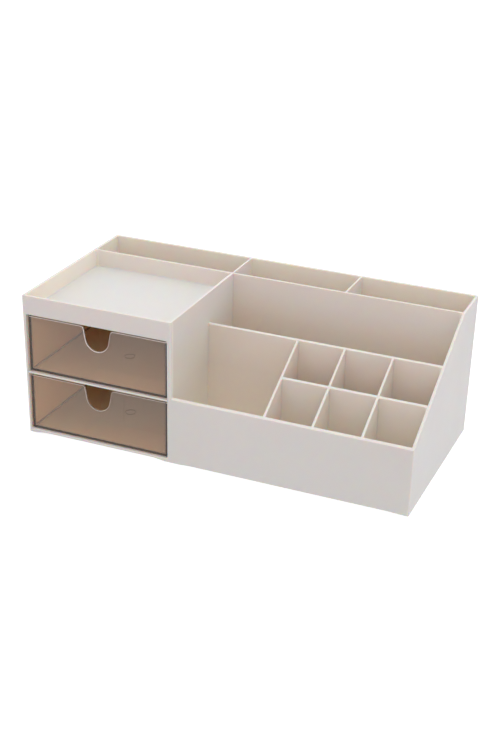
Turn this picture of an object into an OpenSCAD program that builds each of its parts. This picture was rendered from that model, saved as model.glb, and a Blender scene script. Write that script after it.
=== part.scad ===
// Desk organizer: a moulded body with pockets and a top tray, and two pull-out drawers.
// The frame stands on the desk: +X to the right, +Y to the back, +Z up, with its origin
// in the middle of the footprint, under the feet.

/* [Body] */
// Width over the outer walls, at the rim
width = 350; // [320:1:370]
// Depth over the outer walls, at the rim
depth = 171; // [160:1:185]
// Height of the moulded body, without its feet
body_h = 129.3; // [125:0.1:140]
// Height of the low front wall on the right
front_h = 59.5; // [50:0.5:70]
// Outer walls, at the rim
outer_t = 2.2; // [1.8:0.1:3]
// Walls between the pockets, at the rim
divider_t = 1.6; // [1.2:0.1:2.2]
// Floors of the pockets
floor_t = 2; // [1.5:0.1:3]
// How far the left and right walls lean in from the rim to the base
side_lean = 1.3; // [0.5:0.1:2]
// How far the front and back walls lean in from the rim to the base
end_lean = 1.1; // [0.5:0.1:2]
// How far a wall between two pockets spreads on each side, from the rim to the base
divider_lean = 0.5; // [0.2:0.1:0.8]

/* [Pockets] */
// Back edge to the middle of the wall in front of the back row
back_row = 44; // [38:1:50]
// Left edge to the middle of the wall that splits the back row on the right
back_split_x = 244.2; // [230:0.1:260]
// Front edge to the middle of the wall behind the front row
front_row = 75.1; // [68:0.1:80]
// Front edge to the middle of the wall between the two rows of small cells
cell_row = 38.9; // [35:0.1:42]
// Left edge to the middle of the wall left of the small cells
cells_x = 221.7; // [215:0.1:228]
// Spacing of the small cells
cell_pitch = 42; // [40:0.1:43]

/* [Drawer cabinet] */
// Width of the cabinet, from the left edge to the right face of its middle wall
cabinet_w = 139.4; // [130:0.1:145]
// Thickness of the middle wall beside the drawers
middle_t = 3.9; // [3:0.1:5]
// Thickness of the left wall beside the drawers, at the rim
cheek_t = 2.6; // [2.2:0.1:3]
// Height of the sill under the lower drawer
sill_h = 3.6; // [3:0.1:6]
// Height of each drawer opening
opening_h = 53.4; // [50:0.1:55]
// Thickness of the shelf between the drawers
shelf_t = 1.6; // [1.5:0.1:3]
// Thickness of the tray floor on top of the cabinet
tray_t = 1.5; // [1.2:0.1:2]

/* [Drawers] */
// Gap on each side of a drawer
side_gap = 1; // [0.5:0.1:1.5]
// Gap over a drawer
top_gap = 2.4; // [1:0.1:3]
// How far the drawer fronts stand behind the rim of the body
recess = 3; // [2.5:0.1:5]
// Depth of a drawer, front to back
drawer_d = 120; // [110:1:122]
// Front panels
panel_t = 2; // [1.5:0.1:3]
// Other drawer walls and floors
drawer_t = 1.8; // [1.5:0.1:2.5]
// Height of the two runners under each drawer's side walls
runner_h = 0.3; // [0.2:0.1:1]
// Depth of the finger notch, below the drawer's top edge
notch_depth = 21; // [18:0.5:24]
// Radius of the notch's round end
notch_r = 11; // [8:0.5:13]
// Lean of the notch's sides, in degrees
notch_lean = 10; // [5:1:15]
// Radius of the notch's two top corners
notch_fillet = 3; // [2:0.5:4]

/* [Feet] */
// Height of the arch in the front base edge, under the drawers
drawer_arch_h = 1.4; // [0.5:0.1:2]
// Height of the arch in the front base edge, under the front pockets
pocket_arch_h = 0.6; // [0.3:0.1:1]
// How far the feet stand out under the base edge
foot_h = 1.7; // [1:0.1:2.5]
// Diameter of a foot
foot_d = 12; // [8:1:14]

/* [Hidden] */
$fn = 64;

body_color = [0.93, 0.91, 0.88];
drawer_color = [0.55, 0.43, 0.34];
rubber_color = [0.25, 0.25, 0.25];

over = 1;                                  // how far a cut runs past the surface it opens
base_recess = 1.2;                         // hollow under the base, inside its edge
base_rim = 2.6;                            // width of the base edge
hollow_step = 1;                           // ledge around the deeper hollow under the cabinet
arch_margin = 7;                           // arches' ends to the sides and the middle wall
arch_run = 10;                             // length of each sloping end of an arch
pocket_z = base_recess + floor_t;          // top of the pocket floors

back_wall_y = depth - back_row;            // middle of the wall in front of the back row
bay_back = back_wall_y - divider_t / 2;    // front face of that wall
inner_x = [outer_t, width - outer_t];      // inner faces of the outer walls, at the rim
inner_y = [outer_t, depth - outer_t];
slot_wall_x = cabinet_w - divider_t / 2;   // wall behind the middle wall, in the back row

bay_x = [cheek_t, cabinet_w - middle_t];   // drawer bay, between its walls
shelf_z = sill_h + opening_h;
bay_top = shelf_z + shelf_t + opening_h;
tray_z = bay_top + tray_t;
groove = 0.8;                              // how far the shelf's ends sit in the walls

run_gap = 0.1;                             // running gap under the runners
drawer_w = bay_x[1] - bay_x[0] - 2 * side_gap;
drawer_h = opening_h - top_gap - run_gap;
drawer_x = (bay_x[0] + bay_x[1]) / 2;      // middle of the drawers
runner_inset = 6;                          // runner's ends to the drawer's front and back
stop_gap = 0.2;                            // drawer's back to the stops behind it
stop_w = 2;
stop_x = 40;                               // each stop to the middle of the drawers
stop_margin = 6;                           // a stop's ends to the top and bottom of its bay

gate_r = 5;                                // shallow ring on a drawer's floor
gate_w = 0.8;
gate_depth = 0.4;

foot_inset = 17;                           // middle of a foot to the outer edges
foot_chamfer = 0.6;
foot_x = [foot_inset, width / 2, width - foot_inset];
foot_y = [foot_inset, depth - foot_inset];
boss_margin = 1.5;                         // boss around a foot, in the cabinet's hollow

// A leaning face's offset at height z, when it stands in by `lean` at the base
function offset_at(lean, z) = lean * (body_h - z) / body_h;

// Lean of a pocket's side: the middle wall is upright, and outer walls keep their thickness
function x_lean(x) = x == cabinet_w ? 0 : divider_lean + (x == inner_x[0] || x == inner_x[1] ? side_lean : 0);
function y_lean(y) = divider_lean + (y == inner_y[0] || y == inner_y[1] ? end_lean : 0);

// A block whose four sides lean in towards the base. x and y are its limits at the rim,
// z its real limits, and lean how far its left, right, front and back stand in at the base.
module leaning_block(x, y, z, lean) {
    intersection() {
        translate([0, y[1] + over, 0])
            rotate([90, 0, 0])
                linear_extrude(y[1] - y[0] + 2 * over)
                    polygon([
                        [x[0] + offset_at(lean[0], z[0]), z[0]],
                        [x[1] - offset_at(lean[1], z[0]), z[0]],
                        [x[1] - offset_at(lean[1], z[1]), z[1]],
                        [x[0] + offset_at(lean[0], z[1]), z[1]]
                    ]);
        translate([x[0] - over, 0, 0])
            rotate([90, 0, 90])
                linear_extrude(x[1] - x[0] + 2 * over)
                    polygon([
                        [y[0] + offset_at(lean[2], z[0]), z[0]],
                        [y[1] - offset_at(lean[3], z[0]), z[0]],
                        [y[1] - offset_at(lean[3], z[1]), z[1]],
                        [y[0] + offset_at(lean[2], z[1]), z[1]]
                    ]);
    }
}

// Pocket that is open at the top, given its limits at the rim
module pocket(x, y, floor_z = pocket_z) {
    leaning_block(x, y, [floor_z, body_h + over], [x_lean(x[0]), x_lean(x[1]), y_lean(y[0]), y_lean(y[1])]);
}

// Limits of the space between two walls, given their middles
function between(a, b) = [a + divider_t / 2, b - divider_t / 2];

module back_pockets() {
    y = [back_wall_y + divider_t / 2, inner_y[1]];
    pocket([inner_x[0], slot_wall_x - divider_t / 2], y);
    pocket([cabinet_w, back_split_x - divider_t / 2], y);
    pocket([back_split_x + divider_t / 2, inner_x[1]], y);
}

module front_pockets() {
    pocket([cabinet_w, inner_x[1]], between(front_row, back_wall_y));
    pocket([cabinet_w, cells_x - divider_t / 2], [inner_y[0], front_row - divider_t / 2]);
    for (column = [0:2]) {
        left = cells_x + column * cell_pitch + divider_t / 2;
        x = [left, column == 2 ? inner_x[1] : left + cell_pitch - divider_t];
        pocket(x, [inner_y[0], cell_row - divider_t / 2]);
        pocket(x, between(cell_row, front_row));
    }
}

module tray() {
    pocket([inner_x[0], cabinet_w - outer_t], [inner_y[0], bay_back], tray_z);
}

// Everything above the slope that runs from the top of the front wall up to the back row
module slope_cut() {
    rise = (body_h - front_h) / bay_back;
    translate([cabinet_w, 0, 0])
        rotate([90, 0, 90])
            linear_extrude(width - cabinet_w + over)
                polygon([
                    [-over, front_h - over * rise],
                    [bay_back, body_h],
                    [bay_back, body_h + over],
                    [-over, body_h + over]
                ]);
}

// Hollow for both drawers, with the grooves that hold the shelf
module drawer_bay() {
    translate([bay_x[0], -over, sill_h])
        cube([bay_x[1] - bay_x[0], bay_back + over, bay_top - sill_h]);
    translate([bay_x[0] - groove, -over, shelf_z])
        cube([bay_x[1] - bay_x[0] + 2 * groove, bay_back + over, shelf_t]);
}

// Ribs on the back of the bay that stop the drawers
module drawer_stops() {
    front = recess + drawer_d + stop_gap;
    for (side = [-1, 1], z = [sill_h, shelf_z + shelf_t])
        translate([drawer_x + side * stop_x - stop_w / 2, front, z + stop_margin])
            cube([stop_w, bay_back - front, opening_h - 2 * stop_margin]);
}

// Hollow under the base, deeper under the cabinet, with a boss over the foot there
module base_hollow() {
    lean = [side_lean, side_lean, end_lean, end_lean];
    leaning_block([base_rim, width - base_rim], [base_rim, depth - base_rim], [-over, base_recess], lean);
    edge = base_rim + hollow_step;
    difference() {
        leaning_block([edge, bay_x[1]], [edge, bay_back], [0, sill_h - floor_t], lean);
        translate([foot_x[0], foot_y[0], base_recess])
            cylinder(d = foot_d + 2 * boss_margin, h = sill_h);
    }
}

// Cuts a shallow arch out of the front base edge, between the two ends x
module base_arch(x, h) {
    depth_of_cut = base_rim + hollow_step + 2 * end_lean;
    translate([0, depth_of_cut, 0])
        rotate([90, 0, 0])
            linear_extrude(depth_of_cut + over)
                polygon([
                    [x[0], -over], [x[0], 0], [x[0] + arch_run, h],
                    [x[1] - arch_run, h], [x[1], 0], [x[1], -over]
                ]);
}

module body() {
    color(body_color)
        from_corner() {
            difference() {
                leaning_block([0, width], [0, depth], [0, body_h], [side_lean, side_lean, end_lean, end_lean]);
                back_pockets();
                front_pockets();
                tray();
                slope_cut();
                drawer_bay();
                base_hollow();
                base_arch([arch_margin, cabinet_w - arch_margin], drawer_arch_h);
                base_arch([cabinet_w + arch_margin, width - arch_margin], pocket_arch_h);
            }
            drawer_stops();
        }
}

module drawer_shelf() {
    front = offset_at(end_lean, shelf_z);
    color(body_color)
        from_corner()
            translate([bay_x[0] - groove, front, shelf_z])
                cube([bay_x[1] - bay_x[0] + 2 * groove, bay_back - front, shelf_t]);
}

// Points along an arc about `centre`, from angle `from` to angle `to`
function arc(centre, r, from, to, steps) =
    [for (i = [0:steps]) let (a = from + (to - from) * i / steps) centre + r * [cos(a), sin(a)]];

// Outline of the finger notch, from the middle of the drawer's top edge: leaning sides,
// a round end, and a rounded corner where each side meets the top edge
module notch_outline() {
    end_y = notch_r - notch_depth;
    half = (notch_r - end_y * sin(notch_lean)) / cos(notch_lean);
    corner_x = half + notch_fillet * (1 - sin(notch_lean)) / cos(notch_lean);
    polygon(concat(
        [[-corner_x, over], [corner_x, over]],
        arc([corner_x, -notch_fillet], notch_fillet, 90, 180 - notch_lean, 8),
        arc([0, end_y], notch_r, -notch_lean, notch_lean - 180, 24),
        arc([-corner_x, -notch_fillet], notch_fillet, notch_lean, 90, 8)
    ));
}

// One drawer whose runners stand on the surface at height z
module drawer(z) {
    underside = z + run_gap + runner_h;
    top = z + run_gap + drawer_h;
    left = drawer_x - drawer_w / 2;
    color(drawer_color)
        from_corner() {
            difference() {
                translate([left, recess, underside])
                    cube([drawer_w, drawer_d, top - underside]);
                translate([left + drawer_t, recess + panel_t, underside + drawer_t])
                    cube([drawer_w - 2 * drawer_t, drawer_d - panel_t - drawer_t, drawer_h]);
                translate([drawer_x, recess + panel_t + over, top])
                    rotate([90, 0, 0])
                        linear_extrude(panel_t + 2 * over)
                            notch_outline();
                translate([drawer_x, recess + drawer_d / 2, underside + drawer_t - gate_depth])
                    difference() {
                        cylinder(r = gate_r, h = gate_depth + over);
                        cylinder(r = gate_r - gate_w, h = gate_depth + over);
                    }
            }
            for (x = [left, left + drawer_w - drawer_t])
                translate([x, recess + runner_inset, z + run_gap])
                    cube([drawer_t, drawer_d - 2 * runner_inset, runner_h]);
        }
}

module upper_drawer() { drawer(shelf_z + shelf_t); }
module lower_drawer() { drawer(sill_h); }

// Rubber foot with a chamfered lower edge, stuck into the hollow under the base
module foot(column, row) {
    r = foot_d / 2;
    color(rubber_color)
        from_corner()
            translate([foot_x[column], foot_y[row], -foot_h])
                rotate_extrude()
                    polygon([
                        [0, 0], [r - foot_chamfer, 0], [r, foot_chamfer],
                        [r, foot_h + base_recess], [0, foot_h + base_recess]
                    ]);
}

// Moves what is drawn from the body's front left base corner into the object's frame
module from_corner() {
    translate([-width / 2, -depth / 2, foot_h])
        children();
}

body();
drawer_shelf();
upper_drawer();
lower_drawer();
foot(0, 0);  // foot_front_left
foot(1, 0);  // foot_front_middle
foot(2, 0);  // foot_front_right
foot(0, 1);  // foot_back_left
foot(1, 1);  // foot_back_middle
foot(2, 1);  // foot_back_right
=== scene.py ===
"""Looks of the desk organizer: a moulded off-white body with two see-through smoky drawers."""
import math

import bmesh
import bpy
from mathutils import Matrix, Vector


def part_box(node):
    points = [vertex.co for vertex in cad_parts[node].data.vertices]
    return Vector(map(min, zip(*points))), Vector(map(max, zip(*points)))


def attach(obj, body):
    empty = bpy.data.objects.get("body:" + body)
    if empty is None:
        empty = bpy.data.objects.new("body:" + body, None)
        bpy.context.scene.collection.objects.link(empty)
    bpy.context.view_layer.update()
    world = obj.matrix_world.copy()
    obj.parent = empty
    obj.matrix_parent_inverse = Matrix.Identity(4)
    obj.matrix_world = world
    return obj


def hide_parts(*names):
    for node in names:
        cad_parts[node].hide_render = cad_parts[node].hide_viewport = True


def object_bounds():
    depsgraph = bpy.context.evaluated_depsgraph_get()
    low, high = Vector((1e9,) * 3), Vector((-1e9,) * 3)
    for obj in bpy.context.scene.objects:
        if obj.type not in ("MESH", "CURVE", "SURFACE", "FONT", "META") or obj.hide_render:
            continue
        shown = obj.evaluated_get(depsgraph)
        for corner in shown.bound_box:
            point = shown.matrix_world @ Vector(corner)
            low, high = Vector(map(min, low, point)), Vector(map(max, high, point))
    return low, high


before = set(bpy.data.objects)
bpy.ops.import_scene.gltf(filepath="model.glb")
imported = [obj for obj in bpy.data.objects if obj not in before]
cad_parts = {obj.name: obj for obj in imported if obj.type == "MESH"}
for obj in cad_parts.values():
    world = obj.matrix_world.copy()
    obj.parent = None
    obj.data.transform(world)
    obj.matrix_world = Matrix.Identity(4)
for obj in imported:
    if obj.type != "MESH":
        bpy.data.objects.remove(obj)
CAD_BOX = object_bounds()

MM = 0.001
LOW, HIGH = CAD_BOX
FEET = [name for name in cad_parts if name.startswith("foot_")]
DRAWERS = ["upper_drawer", "lower_drawer"]


# ---------------------------------------------------------------- shapes

WELD = 0.005 * MM                             # corners closer than this are one
FLAT = math.radians(0.3)                      # faces that turn less than this are one
SHARP = math.radians(20)                      # edges that turn more than this are rounded
TOUCH = 0.01 * MM                             # distances under this count as none

# Radii of the body's edges
CORNER = 0.9 * MM                             # upright outer corners
MIDDLE_WALL_EDGE = 1.6 * MM                   # front edge of the middle wall, over the low front wall
TRAY_FILLET = 1.5 * MM                        # around the tray's floor
GROOVE_EDGE = 0.1 * MM                        # around the shelf between the drawers
BODY_HOLLOW = 0.7 * MM                        # every other hollow edge
BODY_EDGE = 0.4 * MM                          # and every other outer edge
WIDEST_BODY_EDGE = 1.6 * MM

# Where those edges are
AT_OUTSIDE = 1.5 * MM                         # the outer walls lean in less than this
MIDDLE_WALL = 3 * MM                          # about: shelf's end to the middle wall's far face
TRAY_DEPTH = 18 * MM                          # the tray's floor is within this of the top
TRAY_BACK = 50 * MM                           # and in front of this y

# Radii of the drawers' edges
PALE_EDGE = 0.5 * MM                          # rim, notch and the front's joint with sides and floor, in the painted-highlight material
DRAWER_FILLET = 0.8 * MM                      # long hollow edges, as between floor and walls
DRAWER_HOLLOW = 0.3 * MM                      # short hollow edges
DRAWER_EDGE = 0.4 * MM                        # every other outer edge
RING_EDGE = 0.1 * MM                          # round mark on the floor
WIDEST_DRAWER_EDGE = 0.8 * MM

# Where those edges are
RIM_REACH = 25 * MM                           # the notch ends within this of the drawer's top
JOINT_RANGE = (1 * MM, 3 * MM)                # limits of the joint's distance from front and sides
LONG_EDGE = 20 * MM                           # long edges are longer than this
RING_PIECE = 2 * MM                           # pieces of the round mark are shorter than this

SHELF_EDGE = 0.5 * MM
FOOT_EDGE = 0.2 * MM
NODE_SHARP = math.radians(30)                 # edges of those that turn more are rounded


def clean_copy(node):
    """A bmesh of a CAD node with its seams welded and its flat faces in one piece."""
    bm = bmesh.new()
    bm.from_mesh(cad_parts[node].data)
    bmesh.ops.remove_doubles(bm, verts=bm.verts, dist=WELD)
    bmesh.ops.dissolve_limit(bm, angle_limit=FLAT, verts=bm.verts, edges=bm.edges)
    return bm


def level_normals(piece):
    """Keeps the flat faces of a smooth-shaded piece flat."""
    normals = piece.modifiers.new("flat", "WEIGHTED_NORMAL")
    normals.weight = 100


def bevel_group(piece, name, corners):
    """Rounds the edges that run between those corners, in the piece's second material, which on the
    drawers is a painted highlight.
    """
    piece.vertex_groups.new(name=name).add(corners, 1, "REPLACE")
    bevel = piece.modifiers.new(name, "BEVEL")
    bevel.limit_method = "VGROUP"
    bevel.vertex_group = name
    bevel.width = PALE_EDGE
    bevel.segments = 2
    bevel.use_clamp_overlap = False
    bevel.material = 1


def rounded(node, name, body, radius_of, widest, segments, pale=None):
    """A piece that stands for a CAD node, with each sharp edge rounded to radius_of(edge).

    pale gives named sets of corners, whose edges bevel_group rounds first, in a pale painted
    highlight.
    """
    bm = clean_copy(node)
    bm.verts.index_update()
    groups = pale(bm) if pale else {}
    weight = bm.edges.layers.float.new("bevel_weight_edge")
    for edge in bm.edges:
        if len(edge.link_faces) == 2 and edge.calc_face_angle() > SHARP:
            edge[weight] = radius_of(edge) / widest
    mesh = bpy.data.meshes.new(name)
    bm.to_mesh(mesh)
    bm.free()
    mesh.shade_smooth()
    piece = bpy.data.objects.new(name, mesh)
    bpy.context.scene.collection.objects.link(piece)
    for group, corners in groups.items():
        bevel_group(piece, group, corners)
    bevel = piece.modifiers.new("round", "BEVEL")
    bevel.limit_method = "WEIGHT"
    bevel.width = widest
    bevel.segments = segments
    bevel.use_clamp_overlap = False
    bevel.miter_outer = "MITER_SHARP"
    level_normals(piece)
    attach(piece, body)
    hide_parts(node)
    return piece


def ends(edge):
    return [v.co for v in edge.verts]


def is_hollow(edge):
    return edge.calc_face_angle_signed() < 0


def body_radius(edge):
    """Radius of one edge of the body, from where it is."""
    a, b = ends(edge)
    middle = (a + b) / 2
    upright = abs(a.z - b.z) > 0.9 * (a - b).length
    at_side = min(middle.x - LOW.x, HIGH.x - middle.x) < AT_OUTSIDE
    at_end = min(middle.y - LOW.y, HIGH.y - middle.y) < AT_OUTSIDE
    shelf_low, shelf_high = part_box("drawer_shelf")
    over_cabinet = middle.x < shelf_high.x + MM
    at_middle_wall = abs(middle.x - shelf_high.x - MIDDLE_WALL) < MM
    in_tray = over_cabinet and middle.z > HIGH.z - TRAY_DEPTH and middle.y < TRAY_BACK
    if over_cabinet and shelf_low.z - MM < middle.z < shelf_high.z + MM:
        return GROOVE_EDGE
    if upright and at_side and at_end:
        return CORNER
    if upright and at_end and at_middle_wall and not is_hollow(edge):
        return MIDDLE_WALL_EDGE
    if in_tray and is_hollow(edge) and not upright:
        return TRAY_FILLET
    return BODY_HOLLOW if is_hollow(edge) else BODY_EDGE


def pale_edges(bm):
    """The corners of a drawer's rim and notch, and of its front's joint with the sides and floor,
    whose rounded edges get a painted highlight.
    """
    low = Vector([min(v.co[i] for v in bm.verts) for i in range(3)])
    high = Vector([max(v.co[i] for v in bm.verts) for i in range(3)])
    near, far = JOINT_RANGE
    rim = [v.index for v in bm.verts if v.co.y < low.y + TOUCH and v.co.z > high.z - RIM_REACH]
    joint = [
        v.index for v in bm.verts
        if near < v.co.y - low.y < far and near < min(v.co.x - low.x, high.x - v.co.x) < far
    ]
    return {"rim": rim, "joint": joint}


def drawer_radius(edge):
    """Radius of one edge of a drawer, from where it is.

    0 leaves the rim to pale_edges. The rim is found by the upper drawer's box, so the lower
    drawer's rim is rounded here as well.
    """
    a, b = ends(edge)
    low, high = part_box("upper_drawer")
    if max(a.y, b.y) < low.y + TOUCH and min(a.z, b.z) > high.z - RIM_REACH:
        return 0
    if (a - b).length < RING_PIECE and abs(a.z - b.z) < TOUCH:
        return RING_EDGE
    if is_hollow(edge) and (a - b).length > LONG_EDGE:
        return DRAWER_FILLET
    return DRAWER_HOLLOW if is_hollow(edge) else DRAWER_EDGE


# ---------------------------------------------------------------- materials

# The body and the shelf
BODY_TONE = (0.725, 0.68, 0.615)
POCKET_PAINTED_LIGHT = (0.725, 0.655, 0.56)            # inner walls: painted warm light, for light that comes through the plastic and bounces between them
LOW_PAINTED_LIGHT = (0.86, 0.80, 0.70)                 # the same walls near the base: painted light, lighter towards the base
OUTER_WALL_PAINTED_LIGHT = (0.80, 0.76, 0.66)          # the inner faces of its outer walls: painted light, lighter where light comes through them
POCKET_RANGE = (0.88, 0.72)                   # heights where the pocket's painted light starts and is full
LOW_RANGE = (0.5, 0.15)                       # and the low painted light, as shares of the body's height
OUTER_FACES = 1.7 * MM                        # its outer faces are within this of its limits
INNER_FACES = 4.5 * MM                        # and the inner faces of its outer walls within this
BODY_DEPTH = 3.0 * MM                         # how deep light spreads in it
BODY_SPREAD = (1.0, 0.55, 0.3)                # the share of that depth in each colour
BODY_CLOUDS = (0.99, 1.01)                    # range of a faint unevenness of its tone
BODY_ROUGHNESS = (0.42, 0.5)
BODY_IOR = 1.5
BODY_GRAIN = 0.004 * MM

# The drawers
DRAWER_TINT = (0.95, 0.86, 0.745)             # light left after one wall of a drawer
WALL_END_PAINTED_SHADE = (0.34, 0.3, 0.3)              # and painted shade, darker, where a wall is seen end-on
DRAWER_DEPTH_TINT = (0.75, 0.6, 0.42)
DRAWER_DENSITY = 40                           # per metre
DRAWER_HAZE = 0.05                            # share of the light that it scatters
DRAWER_ROUGHNESS = (0.03, 0.07)
DRAWER_IOR = 1.49
# painted highlight: a pale opaque tone on the drawers' rounded edges
RIM_PAINTED_HIGHLIGHT = (0.8, 0.7, 0.64)
RIM_ROUGHNESS = (0.25, 0.35)
WALL_END_X = 0.015                            # wall ends, as shares of a drawer's width,
WALL_END_Y = 0.02                             # depth
WALL_END_Z = 0.045                            # and height

# The feet
RUBBER_TONES = ((0.03, 0.03, 0.03), (0.05, 0.05, 0.05))
RUBBER_ROUGHNESS = (0.75, 0.9)
RUBBER_GRAIN = 0.02 * MM

UPRIGHT = 0.5                                 # upright faces' normals rise or fall less than this


def material(name):
    made = bpy.data.materials.new(name)
    made.use_nodes = True
    return made, made.node_tree, made.node_tree.nodes["Principled BSDF"]


def noise(tree, scale, detail=3.0):
    """Noise in the object's own coordinates, in features per metre."""
    where = tree.nodes.new("ShaderNodeTexCoord")
    made = tree.nodes.new("ShaderNodeTexNoise")
    made.inputs["Scale"].default_value = scale
    made.inputs["Detail"].default_value = detail
    tree.links.new(where.outputs["Object"], made.inputs["Vector"])
    return made.outputs["Fac"]


def scaled(tree, value, start, end, low=0.0, high=1.0):
    """value brought from the range between start and end to the one from low to high."""
    made = tree.nodes.new("ShaderNodeMapRange")
    made.inputs["From Min"].default_value = start
    made.inputs["From Max"].default_value = end
    made.inputs["To Min"].default_value = low
    made.inputs["To Max"].default_value = high
    tree.links.new(value, made.inputs["Value"])
    return made.outputs["Result"]


def cloudy(tree, scale, low, high):
    """Soft clouds between two values. Most of the noise lies between 0.3 and 0.7."""
    return scaled(tree, noise(tree, scale), 0.3, 0.7, low, high)


def blend(tree, share, first, second):
    """first where share is 0 and second where it is 1. Each is a tone or a node's output."""
    made = tree.nodes.new("ShaderNodeMix")
    made.data_type = "RGBA"
    tree.links.new(share, made.inputs["Factor"])
    for name, tone in (("A", first), ("B", second)):
        if isinstance(tone, bpy.types.NodeSocket):
            tree.links.new(tone, made.inputs[name])
        else:
            made.inputs[name].default_value = (*tone, 1)
    return made.outputs["Result"]


def times(factor, tone):
    return [factor * v for v in tone]


def grain(tree, shader, scale, height):
    """Fine surface grain of that height, in metres."""
    made = tree.nodes.new("ShaderNodeBump")
    made.inputs["Strength"].default_value = 1.0
    made.inputs["Distance"].default_value = height
    tree.links.new(noise(tree, scale, detail=2.0), made.inputs["Height"])
    tree.links.new(made.outputs["Normal"], shader.inputs["Normal"])


def math_node(tree, operation, *values):
    made = tree.nodes.new("ShaderNodeMath")
    made.operation = operation
    for socket, value in zip(made.inputs, values):
        if isinstance(value, float):
            socket.default_value = value
        else:
            tree.links.new(value, socket)
    return made.outputs[0]


def place_and_walls(tree):
    """The place within the object's box, from 0 to 1 on each axis, and 1 on its upright faces."""
    where = tree.nodes.new("ShaderNodeTexCoord")
    at = tree.nodes.new("ShaderNodeSeparateXYZ")
    tree.links.new(where.outputs["Generated"], at.inputs["Vector"])
    facing = tree.nodes.new("ShaderNodeSeparateXYZ")
    tree.links.new(where.outputs["Normal"], facing.inputs["Vector"])
    normal_height = math_node(tree, "ABSOLUTE", facing.outputs["Z"])
    return at.outputs, math_node(tree, "LESS_THAN", normal_height, UPRIGHT)


def painted_light_masks(tree):
    """Masks of the body's inner walls that get painted light: below the tray's floor, near the base,
    on its outer walls.
    """
    at, upright = place_and_walls(tree)
    from_side = math_node(tree, "PINGPONG", at["X"], 0.5)
    from_side = math_node(tree, "MULTIPLY", from_side, HIGH.x - LOW.x)
    from_end = math_node(tree, "PINGPONG", at["Y"], 0.5)
    from_end = math_node(tree, "MULTIPLY", from_end, HIGH.y - LOW.y)
    nearest = math_node(tree, "MINIMUM", from_side, from_end)
    walls = math_node(tree, "MULTIPLY", upright, math_node(tree, "GREATER_THAN", nearest, OUTER_FACES))
    places = (
        scaled(tree, at["Z"], *POCKET_RANGE),
        scaled(tree, at["Z"], *LOW_RANGE),
        math_node(tree, "LESS_THAN", nearest, INNER_FACES),
    )
    return [math_node(tree, "MULTIPLY", walls, place) for place in places]


def body_plastic():
    made, tree, shader = material("off_white_plastic")
    tone = BODY_TONE
    # Painted light: the inner walls get warmer, lighter tones where light comes through the plastic
    # and bounces inside
    for place, inner in zip(painted_light_masks(tree), (POCKET_PAINTED_LIGHT, LOW_PAINTED_LIGHT, OUTER_WALL_PAINTED_LIGHT)):
        tone = blend(tree, place, tone, inner)
    clouded = tree.nodes.new("ShaderNodeVectorMath")
    clouded.operation = "SCALE"
    tree.links.new(tone, clouded.inputs[0])
    tree.links.new(cloudy(tree, 14, *BODY_CLOUDS), clouded.inputs["Scale"])
    tree.links.new(clouded.outputs[0], shader.inputs["Base Color"])
    tree.links.new(cloudy(tree, 60, *BODY_ROUGHNESS), shader.inputs["Roughness"])
    shader.inputs["IOR"].default_value = BODY_IOR
    shader.inputs["Subsurface Weight"].default_value = 1.0
    shader.inputs["Subsurface Scale"].default_value = BODY_DEPTH
    shader.inputs["Subsurface Radius"].default_value = BODY_SPREAD
    grain(tree, shader, 2500, BODY_GRAIN)
    return made


def wall_end(tree):
    """1 where a drawer's front meets its floor and sides: light that enters there stays in them, so
    soft light is kept out there and the colour is painted dark, as painted shade.
    """
    at, upright = place_and_walls(tree)
    from_side = math_node(tree, "PINGPONG", at["X"], 0.5)
    beside = math_node(tree, "LESS_THAN", from_side, WALL_END_X)
    ahead = math_node(tree, "LESS_THAN", at["Y"], WALL_END_Y)
    sides = math_node(tree, "MULTIPLY", beside, ahead)
    floor_end = math_node(tree, "LESS_THAN", at["Z"], WALL_END_Z)
    return math_node(tree, "MULTIPLY", upright, math_node(tree, "MAXIMUM", floor_end, sides))


def drawer_rim_painted_highlight():
    """The drawers' front edges, painted pale and a little cloudy: a painted highlight for the light
    that glints along them.
    """
    made, tree, shader = material("smoky_brown_edge_painted_highlight")
    tone = blend(tree, cloudy(tree, 200, 0, 1), RIM_PAINTED_HIGHLIGHT, times(1.06, RIM_PAINTED_HIGHLIGHT))
    tree.links.new(tone, shader.inputs["Base Color"])
    tree.links.new(cloudy(tree, 300, *RIM_ROUGHNESS), shader.inputs["Roughness"])
    shader.inputs["IOR"].default_value = DRAWER_IOR
    return made


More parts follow.
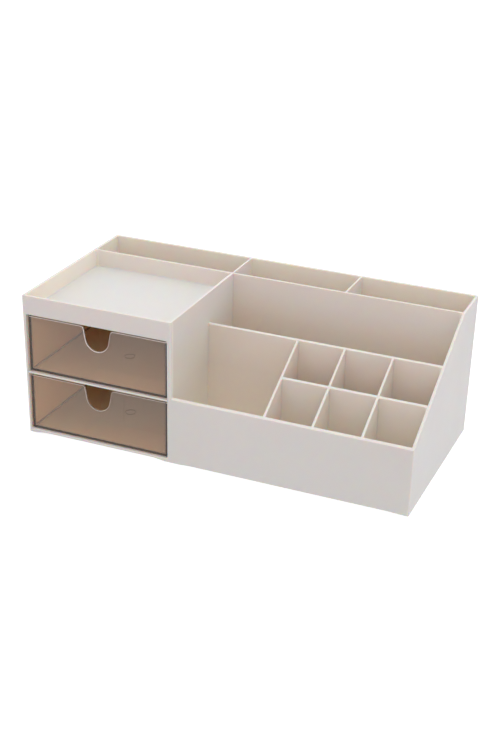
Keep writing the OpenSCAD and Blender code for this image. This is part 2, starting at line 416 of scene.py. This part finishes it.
def drawer_plastic():
    """Tinted clear plastic. Lamps and soft light go straight through, except at its wall ends, whose
    colour is painted dark as painted shade.
    """
    made, tree, shader = material("smoky_brown_plastic")
    output = tree.nodes["Material Output"]
    at_wall_end = wall_end(tree)
    tint = blend(tree, cloudy(tree, 20, 0, 1), DRAWER_TINT, times(1.01, DRAWER_TINT))
    # Painted shade: the wall ends are coloured dark
    tint = blend(tree, at_wall_end, tint, WALL_END_PAINTED_SHADE)
    tree.links.new(tint, shader.inputs["Base Color"])
    tree.links.new(cloudy(tree, 80, *DRAWER_ROUGHNESS), shader.inputs["Roughness"])
    shader.inputs["IOR"].default_value = DRAWER_IOR
    shader.inputs["Transmission Weight"].default_value = 1 - DRAWER_HAZE
    inside = tree.nodes.new("ShaderNodeVolumeAbsorption")
    inside.inputs["Color"].default_value = (*DRAWER_DEPTH_TINT, 1)
    inside.inputs["Density"].default_value = DRAWER_DENSITY
    tree.links.new(inside.outputs["Volume"], output.inputs["Volume"])
    path = tree.nodes.new("ShaderNodeLightPath")
    soft = math_node(tree, "MAXIMUM", path.outputs["Is Shadow Ray"], path.outputs["Is Diffuse Ray"])
    passes = math_node(tree, "MULTIPLY", soft, math_node(tree, "SUBTRACT", 1.0, at_wall_end))
    clear = tree.nodes.new("ShaderNodeBsdfTransparent")
    clear.inputs["Color"].default_value = (*[math.sqrt(v) for v in DRAWER_TINT], 1)
    mix = tree.nodes.new("ShaderNodeMixShader")
    tree.links.new(passes, mix.inputs["Fac"])
    tree.links.new(shader.outputs["BSDF"], mix.inputs[1])
    tree.links.new(clear.outputs["BSDF"], mix.inputs[2])
    tree.links.new(mix.outputs["Shader"], output.inputs["Surface"])
    return made


def foot_rubber():
    made, tree, shader = material("dull_rubber")
    tone = blend(tree, noise(tree, 400), *RUBBER_TONES)
    tree.links.new(tone, shader.inputs["Base Color"])
    tree.links.new(cloudy(tree, 600, *RUBBER_ROUGHNESS), shader.inputs["Roughness"])
    grain(tree, shader, 3000, RUBBER_GRAIN)
    return made


# ---------------------------------------------------------------- the object

def rounded_node(node, width, surface):
    """Keeps a CAD node, with its sharp edges rounded and its own surface."""
    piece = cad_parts[node]
    weld = piece.modifiers.new("weld", "WELD")
    weld.merge_threshold = WELD
    flat = piece.modifiers.new("flat_faces", "DECIMATE")
    flat.decimate_type = "DISSOLVE"
    flat.angle_limit = FLAT
    bevel = piece.modifiers.new("round", "BEVEL")
    bevel.width = width
    bevel.segments = 3
    bevel.angle_limit = NODE_SHARP
    level_normals(piece)
    piece.data.shade_smooth()
    piece.data.materials.clear()
    piece.data.materials.append(surface)


def build():
    white = body_plastic()
    smoky = drawer_plastic()
    # the drawers' edges get a painted highlight
    edge = drawer_rim_painted_highlight()
    rubber = foot_rubber()
    body = rounded(
        "body", "moulded_body", "cabinet", body_radius, WIDEST_BODY_EDGE, segments=4
    )
    body.data.materials.append(white)
    for node in DRAWERS:
        drawer = rounded(
            node, node + "_shell", node, drawer_radius, WIDEST_DRAWER_EDGE,
            segments=3, pale=pale_edges
        )
        drawer.data.materials.append(smoky)
        drawer.data.materials.append(edge)
    rounded_node("drawer_shelf", SHELF_EDGE, white)
    for foot in FEET:
        rounded_node(foot, FOOT_EDGE, rubber)


# ---------------------------------------------------------------- the studio

CAMERA_AT = Vector((0.4258, -1.0361, 0.5764))
CAMERA_AZIMUTH = 22.36                        # degrees to the right of the object's front
CAMERA_ELEVATION = 24.92                      # degrees above the horizon
CAMERA_ROLL = 1.45
LENS = 67.9                                   # mm
SENSOR = 36                                   # mm, the longer side of the frame

SKY = 0.97                                    # soft light from above the horizon
GROUND = 0.60                                 # and from below it, as a pale floor sends back
SKY_TONE = (0.96, 1.0, 1.09)
HORIZON = (-0.02, 0.0)                        # directions' heights where GROUND ends and SKY starts

FLOOR_SIZE = 400
FLOOR_TONE = (0.3, 0.3, 0.3)
FLOOR_GLOW = 0.9                              # keeps the floor white beside the object

LIGHTS = {                                    # place and aim, size in metres, power in watts
    "top_light": ((0.3, 0.0, 1.6), (0, 0, 0), 1.2, 4),
    "right_light": ((1.6, -0.3, 0.9), (0, 0, 0.05), 1.2, 0.6),
    "front_light": ((0.44, -1.12, 0.81), (-0.1, 0, 0.05), 0.2, 1.0),
}


def camera():
    data = bpy.data.cameras.new("camera")
    data.lens = LENS
    data.sensor_width = SENSOR
    made = bpy.data.objects.new("camera", data)
    bpy.context.scene.collection.objects.link(made)
    made.matrix_world = (
        Matrix.Translation(CAMERA_AT)
        @ Matrix.Rotation(math.radians(CAMERA_AZIMUTH), 4, "Z")
        @ Matrix.Rotation(math.radians(90 - CAMERA_ELEVATION), 4, "X")
        @ Matrix.Rotation(math.radians(CAMERA_ROLL), 4, "Z")
    )
    bpy.context.scene.camera = made


def area_light(name, at, aim, size, power):
    data = bpy.data.lights.new(name, "AREA")
    data.size = size
    data.energy = power
    made = bpy.data.objects.new(name, data)
    made.location = at
    made.rotation_euler = (Vector(aim) - Vector(at)).to_track_quat("-Z", "Y").to_euler()
    bpy.context.scene.collection.objects.link(made)


def floor():
    """A pale floor that the camera sees, and that sends no soft light to the object: the sky does."""
    bpy.ops.mesh.primitive_plane_add(size=FLOOR_SIZE, location=(0, 0, 0))
    made = bpy.context.object
    made.name = "floor"
    made.visible_diffuse = False
    surface, tree, shader = material("pale_floor")
    shader.inputs["Base Color"].default_value = (*FLOOR_TONE, 1)
    shader.inputs["Roughness"].default_value = 0.9
    shader.inputs["Specular IOR Level"].default_value = 0
    shader.inputs["Emission Color"].default_value = (1, 1, 1, 1)
    shader.inputs["Emission Strength"].default_value = FLOOR_GLOW
    made.data.materials.append(surface)


def sky():
    """Soft light from all around, weaker from below the horizon."""
    made = bpy.data.worlds.new("studio")
    made.use_nodes = True
    tree = made.node_tree
    background = tree.nodes["Background"]
    where = tree.nodes.new("ShaderNodeTexCoord")
    parts = tree.nodes.new("ShaderNodeSeparateXYZ")
    tree.links.new(where.outputs["Generated"], parts.inputs["Vector"])
    level = scaled(tree, parts.outputs["Z"], *HORIZON, GROUND, SKY)
    tree.links.new(level, background.inputs["Strength"])
    background.inputs["Color"].default_value = (*SKY_TONE, 1)
    bpy.context.scene.world = made


def studio():
    """Sky, lamps and floor, and enough bounces for light to get out of the drawers."""
    scene = bpy.context.scene
    scene.view_settings.view_transform = "Standard"
    scene.cycles.max_bounces = 32
    scene.cycles.diffuse_bounces = 12
    scene.cycles.glossy_bounces = 12
    scene.cycles.transmission_bounces = 24
    scene.cycles.transparent_max_bounces = 32
    sky()
    for name, facts in LIGHTS.items():
        area_light(name, *facts)
    floor()


build()
studio()
camera()
